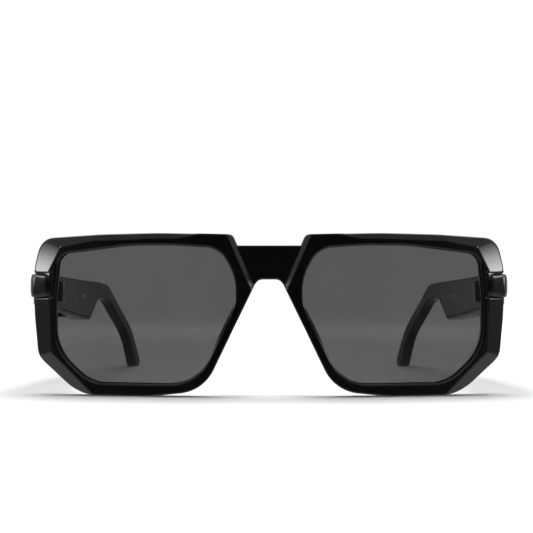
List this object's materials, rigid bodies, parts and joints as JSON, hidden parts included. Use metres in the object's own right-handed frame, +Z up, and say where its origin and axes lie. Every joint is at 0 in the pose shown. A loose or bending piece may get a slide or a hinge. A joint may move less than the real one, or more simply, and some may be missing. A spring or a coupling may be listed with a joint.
{
  "type": "smart glasses",
  "caption": "Faceted square-rimmed smart glasses with grey tinted lenses and folding temples that hold the audio electronics and a press button.",
  "frame": {"origin": "on the surface the glasses stand on, under the middle of their overall box", "axes": "+Z up, the front faces -Y, the temples run back along +Y, +X is the wearer's left"},
  "size_m": [0.1524, 0.1401, 0.0507],
  "materials": {
    "frame_gloss": "polished black injection-moulded nylon",
    "lens_tint": "neutral grey tinted polycarbonate, hard coated",
    "band_gloss": "polished black",
    "temple_gloss": "polished black",
    "cover_gloss": "polished black",
    "arm_gloss": "polished black",
    "button_gloss": "satin black",
    "hinge_metal": "satin",
    "screw_steel": "zinc plated",
    "pin_steel": "turned",
    "core_steel": "stamped spring steel",
    "mesh_steel": "fine woven mesh",
    "mic_can": "tinned",
    "speaker_can": "moulded",
    "seal_rubber": "matt",
    "battery_foil": "foil pouch",
    "board_laminate": "solder mask",
    "chip_epoxy": "moulded epoxy",
    "contact_gold": "gold plated",
    "magnet_nickel": "nickel plated",
    "light_clear": "clear",
    "sensor_film": "polyimide film",
    "antenna_copper": "etched copper",
    "switch_body": "moulded"
  },
  "bodies": {
    "front": {"endpiece_band_left": "band_gloss", "endpiece_band_right": "band_gloss", "front_frame": "frame_gloss", "front_leaf_screws_left": "screw_steel", "front_leaf_screws_right": "screw_steel", "hinge_front_leaf_left": "hinge_metal", "hinge_front_leaf_right": "hinge_metal", "hinge_pin_left": "pin_steel", "hinge_pin_right": "pin_steel", "lens_left": "lens_tint", "lens_right": "lens_tint"},
    "temple_left": {"antenna_left": "antenna_copper", "arm_core_left": "core_steel", "arm_left": "arm_gloss", "battery_left": "battery_foil", "board_chips_left": "chip_epoxy", "charging_contacts_left": "contact_gold", "charging_magnets_left": "magnet_nickel", "circuit_board_left": "board_laminate", "cover_seal_left": "seal_rubber", "hinge_temple_leaf_left": "hinge_metal", "housing_left": "temple_gloss", "inner_cover_left": "cover_gloss", "light_pipe_left": "light_clear", "mic_mesh_left": "mesh_steel", "microphone_left": "mic_can", "speaker_left": "speaker_can", "speaker_mesh_left": "mesh_steel", "temple_leaf_screws_left": "screw_steel", "touch_sensor_left": "sensor_film"},
    "temple_right": {"antenna_right": "antenna_copper", "arm_core_right": "core_steel", "arm_right": "arm_gloss", "battery_right": "battery_foil", "board_chips_right": "chip_epoxy", "charging_contacts_right": "contact_gold", "charging_magnets_right": "magnet_nickel", "circuit_board_right": "board_laminate", "cover_seal_right": "seal_rubber", "hinge_temple_leaf_right": "hinge_metal", "housing_right": "temple_gloss", "inner_cover_right": "cover_gloss", "light_pipe_right": "light_clear", "mic_mesh_right": "mesh_steel", "microphone_right": "mic_can", "speaker_mesh_right": "mesh_steel", "speaker_right": "speaker_can", "temple_leaf_screws_right": "screw_steel", "touch_sensor_right": "sensor_film", "button_switch": "switch_body"},
    "button": {"multifunction_button": "button_gloss"}
  },
  "joints": [
    {"name": "temple_left_fold", "type": "hinge", "parent": "front", "child": "temple_left", "pos_m": [0.0677, -0.05238, 0.0326], "axis": [0, 0, 1], "range_deg": [0, 86]},
    {"name": "temple_right_fold", "type": "hinge", "parent": "front", "child": "temple_right", "pos_m": [-0.0677, -0.05238, 0.0326], "axis": [0, 0, -1], "range_deg": [0, 74]},
    {"name": "button_press", "type": "slide", "parent": "temple_right", "child": "button", "axis": [0, 0, 1], "range_m": [0, 0.00035], "stiffness_N_per_m": 2000, "springref_m": -0.0004}
  ]
}
